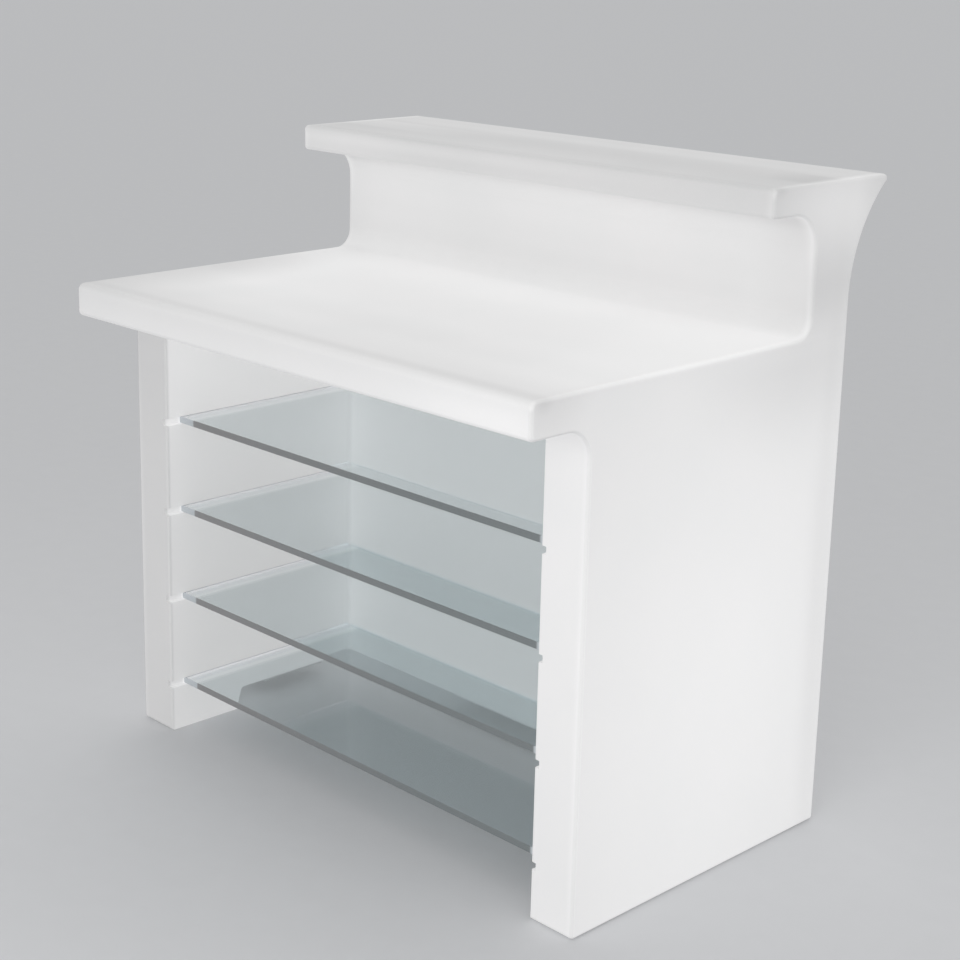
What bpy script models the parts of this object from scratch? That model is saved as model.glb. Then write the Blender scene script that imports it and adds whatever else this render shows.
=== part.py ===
"""Lit bar counter: a hollow moulded body, four glass shelves that pull out, and the lamps inside it."""
import bpy
import bmesh
import math
from mathutils import Vector

# The counter stands on the floor at z = 0, with its length along X.
# The bartender's side faces -Y and the customer's side faces +Y. Sizes are metres.

# Main sizes
COUNTER_LENGTH = 1.100
COUNTER_HEIGHT = 1.100
BODY_DEPTH = 0.6085
BAR_TOP_RISE = 0.243
WORKTOP_THICKNESS = 0.058
WORKTOP_OVERHANG = 0.123
RISER_THICKNESS = 0.0995
BAR_TOP_THICKNESS = 0.0465
BAR_TOP_OVERHANG = 0.114
END_WALL = 0.088
CUSTOMER_WALL = 0.170
SKIN = 0.005

# Flare of the customer's side, an arc that ends in a thin rounded tip
FLARE_HEIGHT = 0.195
FLARE_RADIUS = 0.245
TIP_RADIUS = 0.007
LEAST_TIP_RADIUS = 0.001

# Rounded edges and inside corners
WORKTOP_TOP_EDGE = 0.013
WORKTOP_LOW_EDGE = 0.009
BAR_EDGE = 0.008
RISER_TOP_CORNER = 0.056
RISER_LOW_CORNER = 0.033
LEG_TOP_CORNER = 0.045
FOOT_EDGE = 0.004
END_EDGE = 0.006
LEG_INNER_EDGE = 0.004
BAY_CORNER = 0.010

# Base recess between the feet, and the rubber pads
FOOT_LENGTH = 0.155
RECESS_HEIGHT = 0.034
RECESS_SLOPE = 0.010
RECESS_CORNER = 0.008
END_SKIRT = 0.018
REAR_SKIRT = 0.060
PAD_THICKNESS = 0.003
PAD_PROUD = 0.0015
PAD_LENGTH = 0.110
PAD_WIDTH = 0.050
PAD_CORNER = 0.005
REAR_PAD_WIDTH = 0.036
REAR_PAD_INSET = 0.020

# Glass shelves and the grooves that they slide in
SHELF_COUNT = 4
LOWEST_SHELF_TOP = 0.098
SHELF_SPACING = 0.1688
SHELF_THICKNESS = 0.012
SHELF_SETBACK = 0.0345
SHELF_ARRIS = 0.001
GROOVE_DEPTH = 0.010
GROOVE_HEADROOM = 0.001
SHELF_SIDE_CLEARANCE = 0.001

# Lamp covers, their gaskets and screws
COVER_THICKNESS = 0.003
GASKET_THICKNESS = 0.002
COVER_MARGIN = 0.005
COVER_LIP = 0.011
COVER_CORNER = 0.005
SIDE_COVER_LENGTH = 0.150
FRONT_COVER_LENGTH = 0.330
SCREW_RADIUS = 0.002
SCREW_LENGTH = 0.014
SCREW_TIP_ROOM = 0.0025
SCREW_HEAD_RADIUS = 0.004
SCREW_HEAD_HEIGHT = 0.0025
BOSS_WALL = 0.0028
BOSS_HEIGHT = 0.012

# Lamps
SIDE_LAMP_PLACE = 0.300
SIDE_LAMP_LENGTH = 0.600
FRONT_LAMP_LENGTH = 0.700
LAMP_WIDTH = 0.020
CHANNEL_DEPTH = 0.009
CHANNEL_WALL = 0.0015
BOARD_THICKNESS = 0.0016
CAP_THICKNESS = 0.003
LAMP_FOOT_PLATE = 0.0025
LAMP_FOOT_REACH = 0.016
LAMP_FOOT_HEIGHT = 0.025

# Driver, cable gland and leads
DRIVER_LENGTH = 0.110
DRIVER_WIDTH = 0.040
DRIVER_HEIGHT = 0.022
DRIVER_CORNER = 0.003
DRIVER_LID = 0.003
DRIVER_PLACE = 0.030
GLAND_PLACE = 0.110
GLAND_RADIUS = 0.008
GLAND_NUT_RADIUS = 0.011
GLAND_NUT_HEIGHT = 0.005
GLAND_STEM_END = 0.0025
GLAND_DROP = 0.016
GLAND_BORE = 0.0035
LEAD_RADIUS = 0.0025
LEAD_LANE = 0.0165
LEAD_BEND = 0.044
LEAD_STEP = 0.012

# Pieces that touch keep the seat gap, and a cutter runs past the face that it opens
SEAT_GAP = 0.0003
CUT_PAST = 0.010
SHORT_CUT_PAST = 0.005

# How finely round shapes are drawn, and from which angle an edge counts as sharp
ARC_STEP = math.radians(18)
FLARE_STEP = math.radians(9)
STEP_TOLERANCE = 1e-6
EDGE_SEGMENTS = 2
ROUND_SIDES = 16
SHARP_ANGLE = math.radians(35)
END_EDGE_ANGLE = math.radians(60)

# Places worked out from the sizes
HALF_LENGTH = COUNTER_LENGTH / 2
FLARE_START = COUNTER_HEIGHT - FLARE_HEIGHT
FLARE_TURN = math.asin((FLARE_HEIGHT - TIP_RADIUS) / (FLARE_RADIUS + TIP_RADIUS))
FLARE_REACH = (FLARE_RADIUS + TIP_RADIUS) * (1 - math.cos(FLARE_TURN))
OVERALL_DEPTH = WORKTOP_OVERHANG + BODY_DEPTH + FLARE_REACH
WORKTOP_FRONT = -OVERALL_DEPTH / 2
LEG_FRONT = WORKTOP_FRONT + WORKTOP_OVERHANG
CUSTOMER_FACE = LEG_FRONT + BODY_DEPTH
RISER_FACE = CUSTOMER_FACE - RISER_THICKNESS
BAR_FRONT = RISER_FACE - BAR_TOP_OVERHANG
BAR_UNDERSIDE = COUNTER_HEIGHT - BAR_TOP_THICKNESS
WORKTOP_HEIGHT = COUNTER_HEIGHT - BAR_TOP_RISE
WORKTOP_UNDERSIDE = WORKTOP_HEIGHT - WORKTOP_THICKNESS
BODY_BASE = PAD_PROUD
BAY_HALF = HALF_LENGTH - END_WALL
BAY_BACK = CUSTOMER_FACE - CUSTOMER_WALL
RECESS_TOP = BODY_BASE + RECESS_HEIGHT
RECESS_FRONT = LEG_FRONT + FOOT_LENGTH
RECESS_BACK = CUSTOMER_FACE - REAR_SKIRT
RECESS_HALF = HALF_LENGTH - END_SKIRT
CAVITY_FLOOR = RECESS_TOP + SKIN
BELOW_BASE = BODY_BASE - CUT_PAST
SHELF_FRONT = LEG_FRONT + SHELF_SETBACK
SHELF_BACK = BAY_BACK - SEAT_GAP
SHELF_HALF = BAY_HALF + GROOVE_DEPTH - SHELF_SIDE_CLEARANCE
SIDE_COVER_WIDTH = END_WALL - END_SKIRT - 2 * COVER_MARGIN
SIDE_LAMP_X = (BAY_HALF + RECESS_HALF) / 2
SIDE_LAMP_Y = LEG_FRONT + SIDE_LAMP_PLACE
FRONT_COVER_WIDTH = RECESS_BACK - BAY_BACK - 2 * COVER_MARGIN
FRONT_LAMP_Y = (BAY_BACK + RECESS_BACK) / 2
GASKET_TOP = RECESS_TOP - SEAT_GAP
GASKET_BOTTOM = GASKET_TOP - GASKET_THICKNESS
COVER_TOP = GASKET_BOTTOM - SEAT_GAP
COVER_BOTTOM = COVER_TOP - COVER_THICKNESS
SCREW_HOLE = SCREW_RADIUS + SEAT_GAP
LEAD_HEIGHT = CAVITY_FLOOR + LEAD_RADIUS + SEAT_GAP


for old in list(bpy.data.objects):
    bpy.data.objects.remove(old, do_unlink=True)


# Materials

def material(name, colour, roughness, metallic=0.0, alpha=1.0, glow=0.0):
    made = bpy.data.materials.new(name)
    made.use_nodes = True
    shader = made.node_tree.nodes["Principled BSDF"]
    shader.inputs["Base Color"].default_value = (*colour, 1.0)
    shader.inputs["Roughness"].default_value = roughness
    shader.inputs["Metallic"].default_value = metallic
    shader.inputs["Alpha"].default_value = alpha
    if glow:
        shader.inputs["Emission Color"].default_value = (1.0, 1.0, 0.98, 1.0)
        shader.inputs["Emission Strength"].default_value = glow
    return made


POLYETHYLENE = material("translucent white polyethylene", (0.83, 0.83, 0.82), 0.45, glow=0.15)
GLASS = material("toughened grey tinted glass", (0.50, 0.56, 0.57), 0.05, alpha=0.45)
RUBBER = material("black rubber", (0.03, 0.03, 0.03), 0.80)
GASKET_FOAM = material("grey neoprene", (0.12, 0.12, 0.12), 0.90)
COVER_SHEET = material("powder coated cover sheet", (0.72, 0.72, 0.72), 0.50)
ZINC = material("zinc plated steel", (0.62, 0.63, 0.65), 0.35, metallic=1.0)
ALUMINIUM = material("extruded aluminium", (0.72, 0.73, 0.74), 0.35, metallic=1.0)
CIRCUIT = material("white circuit board", (0.80, 0.80, 0.76), 0.50)
OPAL = material("opal acrylic", (0.85, 0.85, 0.83), 0.30, glow=0.30)
DRIVER_PLASTIC = material("white driver housing", (0.75, 0.75, 0.74), 0.45)
NYLON = material("black nylon", (0.04, 0.04, 0.04), 0.50)
LEAD_SHEATH = material("white lead sheath", (0.70, 0.70, 0.68), 0.55)


# Outlines and solids

def arc(centre, radius, start, turn, step=ARC_STEP):
    """Points along an arc, no further apart than the step angle."""
    count = max(2, math.ceil(abs(turn) / step - STEP_TOLERANCE))
    angles = [start + turn * i / count for i in range(count + 1)]
    return [(centre[0] + radius * math.cos(a), centre[1] + radius * math.sin(a)) for a in angles]


def circle(centre, radius, sides=ROUND_SIDES):
    full_turn = 2 * math.pi
    return arc(centre, radius, 0, full_turn, full_turn / sides)[:-1]


def rounded(corners):
    """Outline through corners of (u, v, radius), each corner turned into an arc of its radius."""
    points = []
    for i, (u, v, radius) in enumerate(corners):
        if radius <= 0:
            points.append((u, v))
            continue
        here = Vector((u, v))
        to_last = (Vector(corners[i - 1][:2]) - here).normalized()
        to_next = (Vector(corners[(i + 1) % len(corners)][:2]) - here).normalized()
        opening = to_last.angle(to_next)
        start = here + to_last * radius / math.tan(opening / 2)
        centre = here + (to_last + to_next).normalized() * radius / math.sin(opening / 2)
        first = math.atan2(start.y - centre.y, start.x - centre.x)
        side = to_last.x * to_next.y - to_last.y * to_next.x
        turn = (math.pi - opening) * (-1 if side > 0 else 1)
        points += arc(centre, radius, first, turn)
    return points


def rectangle(low, high, radius=0.0):
    ends = [(low[0], low[1]), (high[0], low[1]), (high[0], high[1]), (low[0], high[1])]
    return rounded([(u, v, radius) for u, v in ends])


def centred_rectangle(centre, size, radius=0.0):
    low = (centre[0] - size[0] / 2, centre[1] - size[1] / 2)
    high = (centre[0] + size[0] / 2, centre[1] + size[1] / 2)
    return rectangle(low, high, radius)


def solid(name, mesh_data, substance=None):
    """Object from a bmesh, with its flat and round faces shaded; without a substance it is a cutter."""
    bmesh.ops.recalc_face_normals(mesh_data, faces=mesh_data.faces)
    mesh = bpy.data.meshes.new(name)
    mesh_data.to_mesh(mesh)
    mesh_data.free()
    mesh.shade_smooth()
    mesh.set_sharp_from_angle(angle=SHARP_ANGLE)
    made = bpy.data.objects.new(name, mesh)
    bpy.context.scene.collection.objects.link(made)
    if substance:
        mesh.materials.append(substance)
    else:
        made.hide_render = True
        made.display_type = "WIRE"
    return made


def add_prism(mesh_data, outline, axis, low, high):
    """Outline extruded along an axis: (y, z) along X, (x, z) along Y, or (x, y) along Z."""
    place = {"X": lambda u, v, w: (w, u, v), "Y": lambda u, v, w: (u, w, v), "Z": lambda u, v, w: (u, v, w)}
    verts = [mesh_data.verts.new(place[axis](u, v, low)) for u, v in outline]
    face = mesh_data.faces.new(verts)
    grown = bmesh.ops.extrude_face_region(mesh_data, geom=[face])
    moved = [item for item in grown["geom"] if isinstance(item, bmesh.types.BMVert)]
    shift = Vector(place[axis](0, 0, high - low))
    bmesh.ops.translate(mesh_data, vec=shift, verts=moved)


def prism(name, outline, axis, low, high, substance=None):
    mesh_data = bmesh.new()
    add_prism(mesh_data, outline, axis, low, high)
    return solid(name, mesh_data, substance)


def add_block(mesh_data, low, high):
    add_prism(mesh_data, rectangle(low, high), "Z", low[2], high[2])


def boolean(target, other, operation="DIFFERENCE"):
    step = target.modifiers.new(other.name, "BOOLEAN")
    step.operation = operation
    step.object = other
    step.solver = "EXACT"


def soften_ends(target, width):
    """Rounds the edges round both end faces of a body that runs along X."""
    step = target.modifiers.new("rounded end edges", "BEVEL")
    step.width = width
    step.segments = EDGE_SEGMENTS
    step.limit_method = "ANGLE"
    step.angle_limit = END_EDGE_ANGLE


# Body outlines: the outside skin, and the hollow inside it one skin thickness further in

def flared_back(inset):
    """The customer's side in (y, z), from the foot of the flare up and over its tip."""
    top = COUNTER_HEIGHT - inset
    radius = FLARE_RADIUS + inset
    tip = max(TIP_RADIUS - inset, LEAST_TIP_RADIUS)
    turn = math.asin((top - tip - FLARE_START) / (radius + tip))
    flare_centre = (CUSTOMER_FACE + FLARE_RADIUS, FLARE_START)
    tip_centre = (flare_centre[0] - (radius + tip) * math.cos(turn), top - tip)
    back = arc(flare_centre, radius, math.pi, -turn, FLARE_STEP)
    return back + arc(tip_centre, tip, -turn, math.pi / 2 + turn)[1:]


def body_outline(inset=0.0):
    """Side view of the body in (y, z), drawn inset from its outside."""
    corners = [(y, z, 0) for y, z in flared_back(inset)]
    corners += [
        (BAR_FRONT + inset, COUNTER_HEIGHT - inset, BAR_EDGE - inset),
        (BAR_FRONT + inset, BAR_UNDERSIDE + inset, BAR_EDGE - inset),
        (RISER_FACE + inset, BAR_UNDERSIDE + inset, RISER_TOP_CORNER + inset),
        (RISER_FACE + inset, WORKTOP_HEIGHT - inset, RISER_LOW_CORNER + inset),
        (WORKTOP_FRONT + inset, WORKTOP_HEIGHT - inset, WORKTOP_TOP_EDGE - inset),
        (WORKTOP_FRONT + inset, WORKTOP_UNDERSIDE + inset, WORKTOP_LOW_EDGE - inset),
        (LEG_FRONT + inset, WORKTOP_UNDERSIDE + inset, LEG_TOP_CORNER + inset),
        (LEG_FRONT + inset, BODY_BASE + inset, FOOT_EDGE - inset),
        (CUSTOMER_FACE - inset, BODY_BASE + inset, FOOT_EDGE - inset),
    ]
    return rounded(corners)


def bay_outline(grow=0.0):
    """Plan view of the storage bay in (x, y), with round rear corners and the legs' rounded inner edges."""
    corner = BAY_CORNER + grow
    right = arc((BAY_HALF + grow - corner, BAY_BACK + grow - corner), corner, 0, math.pi / 2)
    edge = LEG_INNER_EDGE - grow
    if edge > 0:
        mouth_centre = (BAY_HALF + grow + edge, LEG_FRONT + grow + edge)
        right = arc(mouth_centre, edge, -math.pi / 2, -math.pi / 2) + right
    right.insert(0, (right[0][0], LEG_FRONT - LEG_TOP_CORNER - CUT_PAST))
    left = [(-x, y) for x, y in reversed(right)]
    return right + left


def recess_outline(grow=0.0):
    """Side view of the base recess in (y, z), behind the front feet."""
    return rounded([
        (RECESS_FRONT - grow, BELOW_BASE, 0),
        (RECESS_BACK + grow, BELOW_BASE, 0),
        (RECESS_BACK + grow, RECESS_TOP + grow, 0),
        (RECESS_FRONT + RECESS_SLOPE - grow, RECESS_TOP + grow, RECESS_CORNER + grow),
        (RECESS_FRONT - grow, BODY_BASE, 0),
    ])


# Grooves for the shelves in both end walls, open at the legs' front faces

def shelf_top(index):
    """Height of a shelf's top face; shelf 1 is the highest."""
    return LOWEST_SHELF_TOP + (SHELF_COUNT - index) * SHELF_SPACING


def grooves(name, grow=0.0):
    mesh_data = bmesh.new()
    near = BAY_HALF - BAY_CORNER
    far = BAY_HALF + GROOVE_DEPTH + grow
    front = LEG_FRONT - CUT_PAST
    back = BAY_BACK + (grow - SEAT_GAP if grow else 0)
    for index in range(1, SHELF_COUNT + 1):
        low = shelf_top(index) - SHELF_THICKNESS - SEAT_GAP - grow
        high = shelf_top(index) + GROOVE_HEADROOM + grow
        add_block(mesh_data, (near, front, low), (far, back, high))
        add_block(mesh_data, (-far, front, low), (-near, back, high))
    return solid(name, mesh_data)


# Lamp covers in plan: centre, size, and the places of the screws in the middle of the lip

COVERS = {
    "left": ((-SIDE_LAMP_X, SIDE_LAMP_Y), (SIDE_COVER_WIDTH, SIDE_COVER_LENGTH)),
    "right": ((SIDE_LAMP_X, SIDE_LAMP_Y), (SIDE_COVER_WIDTH, SIDE_COVER_LENGTH)),
    "front": ((0.0, FRONT_LAMP_Y), (FRONT_COVER_LENGTH, FRONT_COVER_WIDTH)),
}


def cover_outline(side, lip=0.0):
    centre, size = COVERS[side]
    return centred_rectangle(centre, (size[0] - 2 * lip, size[1] - 2 * lip), COVER_CORNER)


def screw_places(side):
    centre, size = COVERS[side]
    reach_x = (size[0] - COVER_LIP) / 2
    reach_y = (size[1] - COVER_LIP) / 2
    return [(centre[0] + a * reach_x, centre[1] + b * reach_y) for a in (-1, 1) for b in (-1, 1)]


def round_bars(name, places, radius, low, high):
    """Upright round bars at all the places, in one cutter."""
    mesh_data = bmesh.new()
    for place in places:
        add_prism(mesh_data, circle(place, radius), "Z", low, high)
    return solid(name, mesh_data)


# Rubber pads in plan: name, centre and size

def pad_places():
    places = []
    for word, sign in (("left", -1), ("right", 1)):
        front = (sign * (HALF_LENGTH - END_WALL / 2), LEG_FRONT + FOOT_LENGTH / 2)
        rear = (sign * (HALF_LENGTH - REAR_PAD_INSET - PAD_LENGTH / 2), CUSTOMER_FACE - REAR_SKIRT / 2)
        places.append((f"foot_pad_front_{word}", front, (PAD_WIDTH, PAD_LENGTH)))
        places.append((f"foot_pad_rear_{word}", rear, (PAD_LENGTH, REAR_PAD_WIDTH)))
    return places


# Body: one moulded skin of even thickness round a hollow

def hollow():
    """The space inside the skin, which stays clear of the bay, grooves, recess and screw bosses."""
    space = prism("hollow", body_outline(SKIN), "X", SKIN - HALF_LENGTH, HALF_LENGTH - SKIN)
    boolean(space, prism("bay_wall", bay_outline(SKIN), "Z", BELOW_BASE, WORKTOP_UNDERSIDE + SKIN))
    boolean(space, grooves("groove_walls", SKIN))
    recess_reach = RECESS_HALF + SKIN
    boolean(space, prism("recess_wall", recess_outline(SKIN), "X", -recess_reach, recess_reach))
    every_screw = [place for side in COVERS for place in screw_places(side)]
    boss_low = CAVITY_FLOOR - SKIN / 2
    boss_top = CAVITY_FLOOR + BOSS_HEIGHT
    boolean(space, round_bars("bosses", every_screw, SCREW_HOLE + BOSS_WALL, boss_low, boss_top))
    return space


def body():
    shell = prism("body_shell", body_outline(), "X", -HALF_LENGTH, HALF_LENGTH, POLYETHYLENE)
    soften_ends(shell, END_EDGE)
    boolean(shell, hollow())
    boolean(shell, prism("bay", bay_outline(), "Z", BELOW_BASE, WORKTOP_UNDERSIDE))
    boolean(shell, grooves("groove_slots"))
    boolean(shell, prism("recess", recess_outline(), "X", -RECESS_HALF, RECESS_HALF))

    below_recess_top = RECESS_TOP - SHORT_CUT_PAST
    above_cavity_floor = CAVITY_FLOOR + SHORT_CUT_PAST
    windows = bmesh.new()
    for side in COVERS:
        add_prism(windows, cover_outline(side, COVER_LIP), "Z", below_recess_top, above_cavity_floor)
    boolean(shell, solid("lamp_windows", windows))
    every_screw = [place for side in COVERS for place in screw_places(side)]
    pilot_top = COVER_BOTTOM + SCREW_LENGTH + SCREW_TIP_ROOM
    boolean(shell, round_bars("screw_pilots", every_screw, SCREW_HOLE, below_recess_top, pilot_top))

    pockets = bmesh.new()
    for name, centre, size in pad_places():
        grown = (size[0] + 2 * SEAT_GAP, size[1] + 2 * SEAT_GAP)
        outline = centred_rectangle(centre, grown, PAD_CORNER)
        add_prism(pockets, outline, "Z", BELOW_BASE, PAD_THICKNESS + SEAT_GAP)
    boolean(shell, solid("pad_pockets", pockets))


body()


# Rubber pads, let into the feet and standing proud of them

for name, centre, size in pad_places():
    prism(name, centred_rectangle(centre, size, PAD_CORNER), "Z", 0.0, PAD_THICKNESS, RUBBER)


# Glass shelves, each with its origin at its own middle

def shelf(index):
    half = Vector((SHELF_HALF, (SHELF_BACK - SHELF_FRONT) / 2, SHELF_THICKNESS / 2))
    mesh_data = bmesh.new()
    add_block(mesh_data, -half, half)
    bmesh.ops.bevel(mesh_data, geom=mesh_data.edges[:], offset=SHELF_ARRIS, segments=1, affect="EDGES")
    made = solid(f"shelf_{index}", mesh_data, GLASS)
    made.location = (0, (SHELF_FRONT + SHELF_BACK) / 2, shelf_top(index) - SHELF_THICKNESS / 2)


for index in range(1, SHELF_COUNT + 1):
    shelf(index)


# Lamp covers, their gaskets and screws

def screw(name, place):
    """Pan head screw with its head under the cover and its shank up in the body's boss."""
    head_top = COVER_BOTTOM - SEAT_GAP
    head_low = head_top - SCREW_HEAD_HEIGHT
    mesh_data = bmesh.new()
    add_prism(mesh_data, circle(place, SCREW_HEAD_RADIUS), "Z", head_low, head_top)
    low_face = min(mesh_data.faces, key=lambda face: face.calc_center_median().z)
    rim = low_face.edges[:]
    bmesh.ops.bevel(mesh_data, geom=rim, offset=SCREW_HEAD_HEIGHT / 2, segments=2, affect="EDGES")
    head = solid(name, mesh_data, ZINC)
    shank_outline = circle(place, SCREW_RADIUS, ROUND_SIDES // 2)
    shank_low = head_top - SCREW_HEAD_HEIGHT / 4
    shank = prism(name + "_shank", shank_outline, "Z", shank_low, COVER_BOTTOM + SCREW_LENGTH)
    boolean(head, shank, "UNION")


def cover(side):
    plate = prism(f"lamp_cover_{side}", cover_outline(side), "Z", COVER_BOTTOM, COVER_TOP, COVER_SHEET)
    gasket = prism(f"cover_gasket_{side}", cover_outline(side), "Z", GASKET_BOTTOM, GASKET_TOP, GASKET_FOAM)
    window_outline = cover_outline(side, COVER_LIP)
    boolean(gasket, prism(f"gasket_window_{side}", window_outline, "Z", COVER_BOTTOM, CAVITY_FLOOR))
    below = COVER_BOTTOM - SHORT_CUT_PAST
    drill = round_bars(f"cover_holes_{side}", screw_places(side), SCREW_HOLE, below, CAVITY_FLOOR)
    boolean(plate, drill)
    boolean(gasket, drill)
    for number, place in enumerate(screw_places(side), 1):
        screw(f"cover_screw_{side}_{number}", place)
    return plate


PLATES = {side: cover(side) for side in COVERS}


# Lamps: each stands on its cover, drawn at the origin facing +Y and then turned into place

def lamp(side, place, length, heading):
    half = LAMP_WIDTH / 2
    inner = half - CHANNEL_WALL
    back = -CHANNEL_DEPTH / 2
    front = CHANNEL_DEPTH / 2
    base = COVER_TOP + SEAT_GAP
    foot_top = base + LAMP_FOOT_PLATE
    bottom = foot_top + SEAT_GAP
    top = bottom + length
    pieces = []

    tab_front = back - SEAT_GAP
    tab_back = tab_front - LAMP_FOOT_PLATE
    tab_top = base + LAMP_FOOT_HEIGHT
    foot_outline = [
        (tab_back, base), (back + LAMP_FOOT_REACH, base), (back + LAMP_FOOT_REACH, foot_top),
        (tab_front, foot_top), (tab_front, tab_top), (tab_back, tab_top),
    ]
    pieces.append(prism(f"lamp_foot_{side}", foot_outline, "X", -half, half, ALUMINIUM))

    floor = back + CHANNEL_WALL
    channel_outline = [
        (-half, back), (half, back), (half, front), (inner, front),
        (inner, floor), (-inner, floor), (-inner, front), (-half, front),
    ]
    pieces.append(prism(f"led_channel_{side}", channel_outline, "Z", bottom, top, ALUMINIUM))

    board_low = (SEAT_GAP - inner, floor + SEAT_GAP)
    board_high = (inner - SEAT_GAP, floor + SEAT_GAP + BOARD_THICKNESS)
    pieces.append(prism(f"led_board_{side}", rectangle(board_low, board_high), "Z", bottom, top, CIRCUIT))

    hood_centre = (0, front + SEAT_GAP)
    outside = arc(hood_centre, half, 0, math.pi)
    inside = arc(hood_centre, inner, math.pi, -math.pi)
    pieces.append(prism(f"diffuser_{side}", outside + inside, "Z", bottom, top, OPAL))

    cap_outline = outside + [(-half, back), (half, back)]
    cap_low = top + SEAT_GAP
    cap_top = cap_low + CAP_THICKNESS
    pieces.append(prism(f"lamp_cap_{side}", cap_outline, "Z", cap_low, cap_top, DRIVER_PLASTIC))

    for piece in pieces:
        piece.location = (place[0], place[1], 0)
        piece.rotation_euler = (0, 0, heading)


lamp("left", (-SIDE_LAMP_X, SIDE_LAMP_Y), SIDE_LAMP_LENGTH, math.pi / 2)
lamp("right", (SIDE_LAMP_X, SIDE_LAMP_Y), SIDE_LAMP_LENGTH, -math.pi / 2)
lamp("front", (0, FRONT_LAMP_Y), FRONT_LAMP_LENGTH, 0)


# Driver on the front cover, beside the lamp

DRIVER_LEFT = DRIVER_PLACE - SEAT_GAP
DRIVER_RIGHT = DRIVER_PLACE + DRIVER_LENGTH + SEAT_GAP


def driver():
    centre = (DRIVER_PLACE + DRIVER_LENGTH / 2, FRONT_LAMP_Y)
    outline = centred_rectangle(centre, (DRIVER_LENGTH, DRIVER_WIDTH), DRIVER_CORNER)
    base = COVER_TOP + SEAT_GAP
    case_top = base + DRIVER_HEIGHT
    lid_base = case_top + SEAT_GAP
    prism("driver_case", outline, "Z", base, case_top, DRIVER_PLASTIC)
    prism("driver_lid", outline, "Z", lid_base, lid_base + DRIVER_LID, DRIVER_PLASTIC)


driver()


# Cable gland through the front cover: the supply cord would come up through its bore

def gland():
    centre = (-GLAND_PLACE, FRONT_LAMP_Y)
    collar_top = COVER_BOTTOM - SEAT_GAP
    collar_low = collar_top - GLAND_DROP
    nut_low = COVER_TOP + SEAT_GAP
    nut_top = nut_low + GLAND_NUT_HEIGHT
    stem_top = nut_top + GLAND_STEM_END
    hexagon = circle(centre, GLAND_NUT_RADIUS, 6)
    made = prism("cable_gland", hexagon, "Z", collar_low, collar_top, NYLON)
    stem = prism("gland_stem", circle(centre, GLAND_RADIUS), "Z", collar_top - GLAND_STEM_END, stem_top)
    boolean(made, stem, "UNION")
    bore_outline = circle(centre, GLAND_BORE)
    boolean(made, prism("gland_bore", bore_outline, "Z", collar_low - CUT_PAST, stem_top + CUT_PAST))
    hole_outline = circle(centre, GLAND_RADIUS + SEAT_GAP)
    seat = prism("gland_hole", hole_outline, "Z", COVER_BOTTOM - CUT_PAST, stem_top + CUT_PAST)
    boolean(PLATES["front"], seat)
    nut = prism("gland_nut", hexagon, "Z", nut_low, nut_top, NYLON)
    boolean(nut, seat)


gland()


# Leads from the driver to the lamps, lying on the floor of the hollow

def smooth_route(places):
    """Points along a smooth curve through the route's places, about one lead step apart."""
    route = [Vector(place) for place in places]
    ends = [route[0]] + route + [route[-1]]
    headings = [(ends[i + 2] - ends[i]).normalized() for i in range(len(route))]
    points = []
    for i in range(len(route) - 1):
        start, end = route[i], route[i + 1]
        span = (end - start).length
        count = max(2, round(span / LEAD_STEP))
        for step in range(count):
            t = step / count
            from_start = start * (1 + 2 * t) + headings[i] * span * t
            from_end = end * (3 - 2 * t) - headings[i + 1] * span * (1 - t)
            points.append(from_start * (1 - t) ** 2 + from_end * t ** 2)
    return points + [route[-1]]


def lead(name, places):
    curve = bpy.data.curves.new(name, "CURVE")
    curve.dimensions = "3D"
    curve.bevel_depth = LEAD_RADIUS
    curve.bevel_resolution = 2
    curve.use_fill_caps = True
    points = smooth_route([(x, y, LEAD_HEIGHT) for x, y in places])
    spline = curve.splines.new("POLY")
    spline.points.add(len(points) - 1)
    for held, point in zip(spline.points, points):
        held.co = (*point, 1.0)
    curve.materials.append(LEAD_SHEATH)
    made = bpy.data.objects.new(name, curve)
    bpy.context.scene.collection.objects.link(made)


def side_lead(side, sign, start):
    """From the driver along the customer's wall, round the corner and up to the lamp's side."""
    start_x, lane = start
    lead(f"lead_{side}", [
        start,
        (start_x + sign * LEAD_BEND, lane),
        (sign * (SIDE_LAMP_X - 2 * LEAD_BEND), lane),
        (sign * (SIDE_LAMP_X - LEAD_BEND / 4), lane - LEAD_BEND / 2),
        (sign * SIDE_LAMP_X, lane - 2 * LEAD_BEND),
        (sign * SIDE_LAMP_X, SIDE_LAMP_Y + LAMP_WIDTH / 2 + SEAT_GAP),
    ])


side_lead("right", 1, (DRIVER_RIGHT, FRONT_LAMP_Y))
side_lead("left", -1, (DRIVER_LEFT, FRONT_LAMP_Y - LEAD_LANE))
LAMP_EDGE = LAMP_WIDTH / 2 + SEAT_GAP
lead("lead_front", [
    (DRIVER_LEFT, FRONT_LAMP_Y),
    ((DRIVER_LEFT + LAMP_EDGE) / 2, FRONT_LAMP_Y),
    (LAMP_EDGE, FRONT_LAMP_Y),
])
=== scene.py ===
"""Looks of the lit bar counter: its moulded body, glass shelves, and the lamps and fittings in its base."""
import math

import bpy
from mathutils import Matrix, Vector


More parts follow.
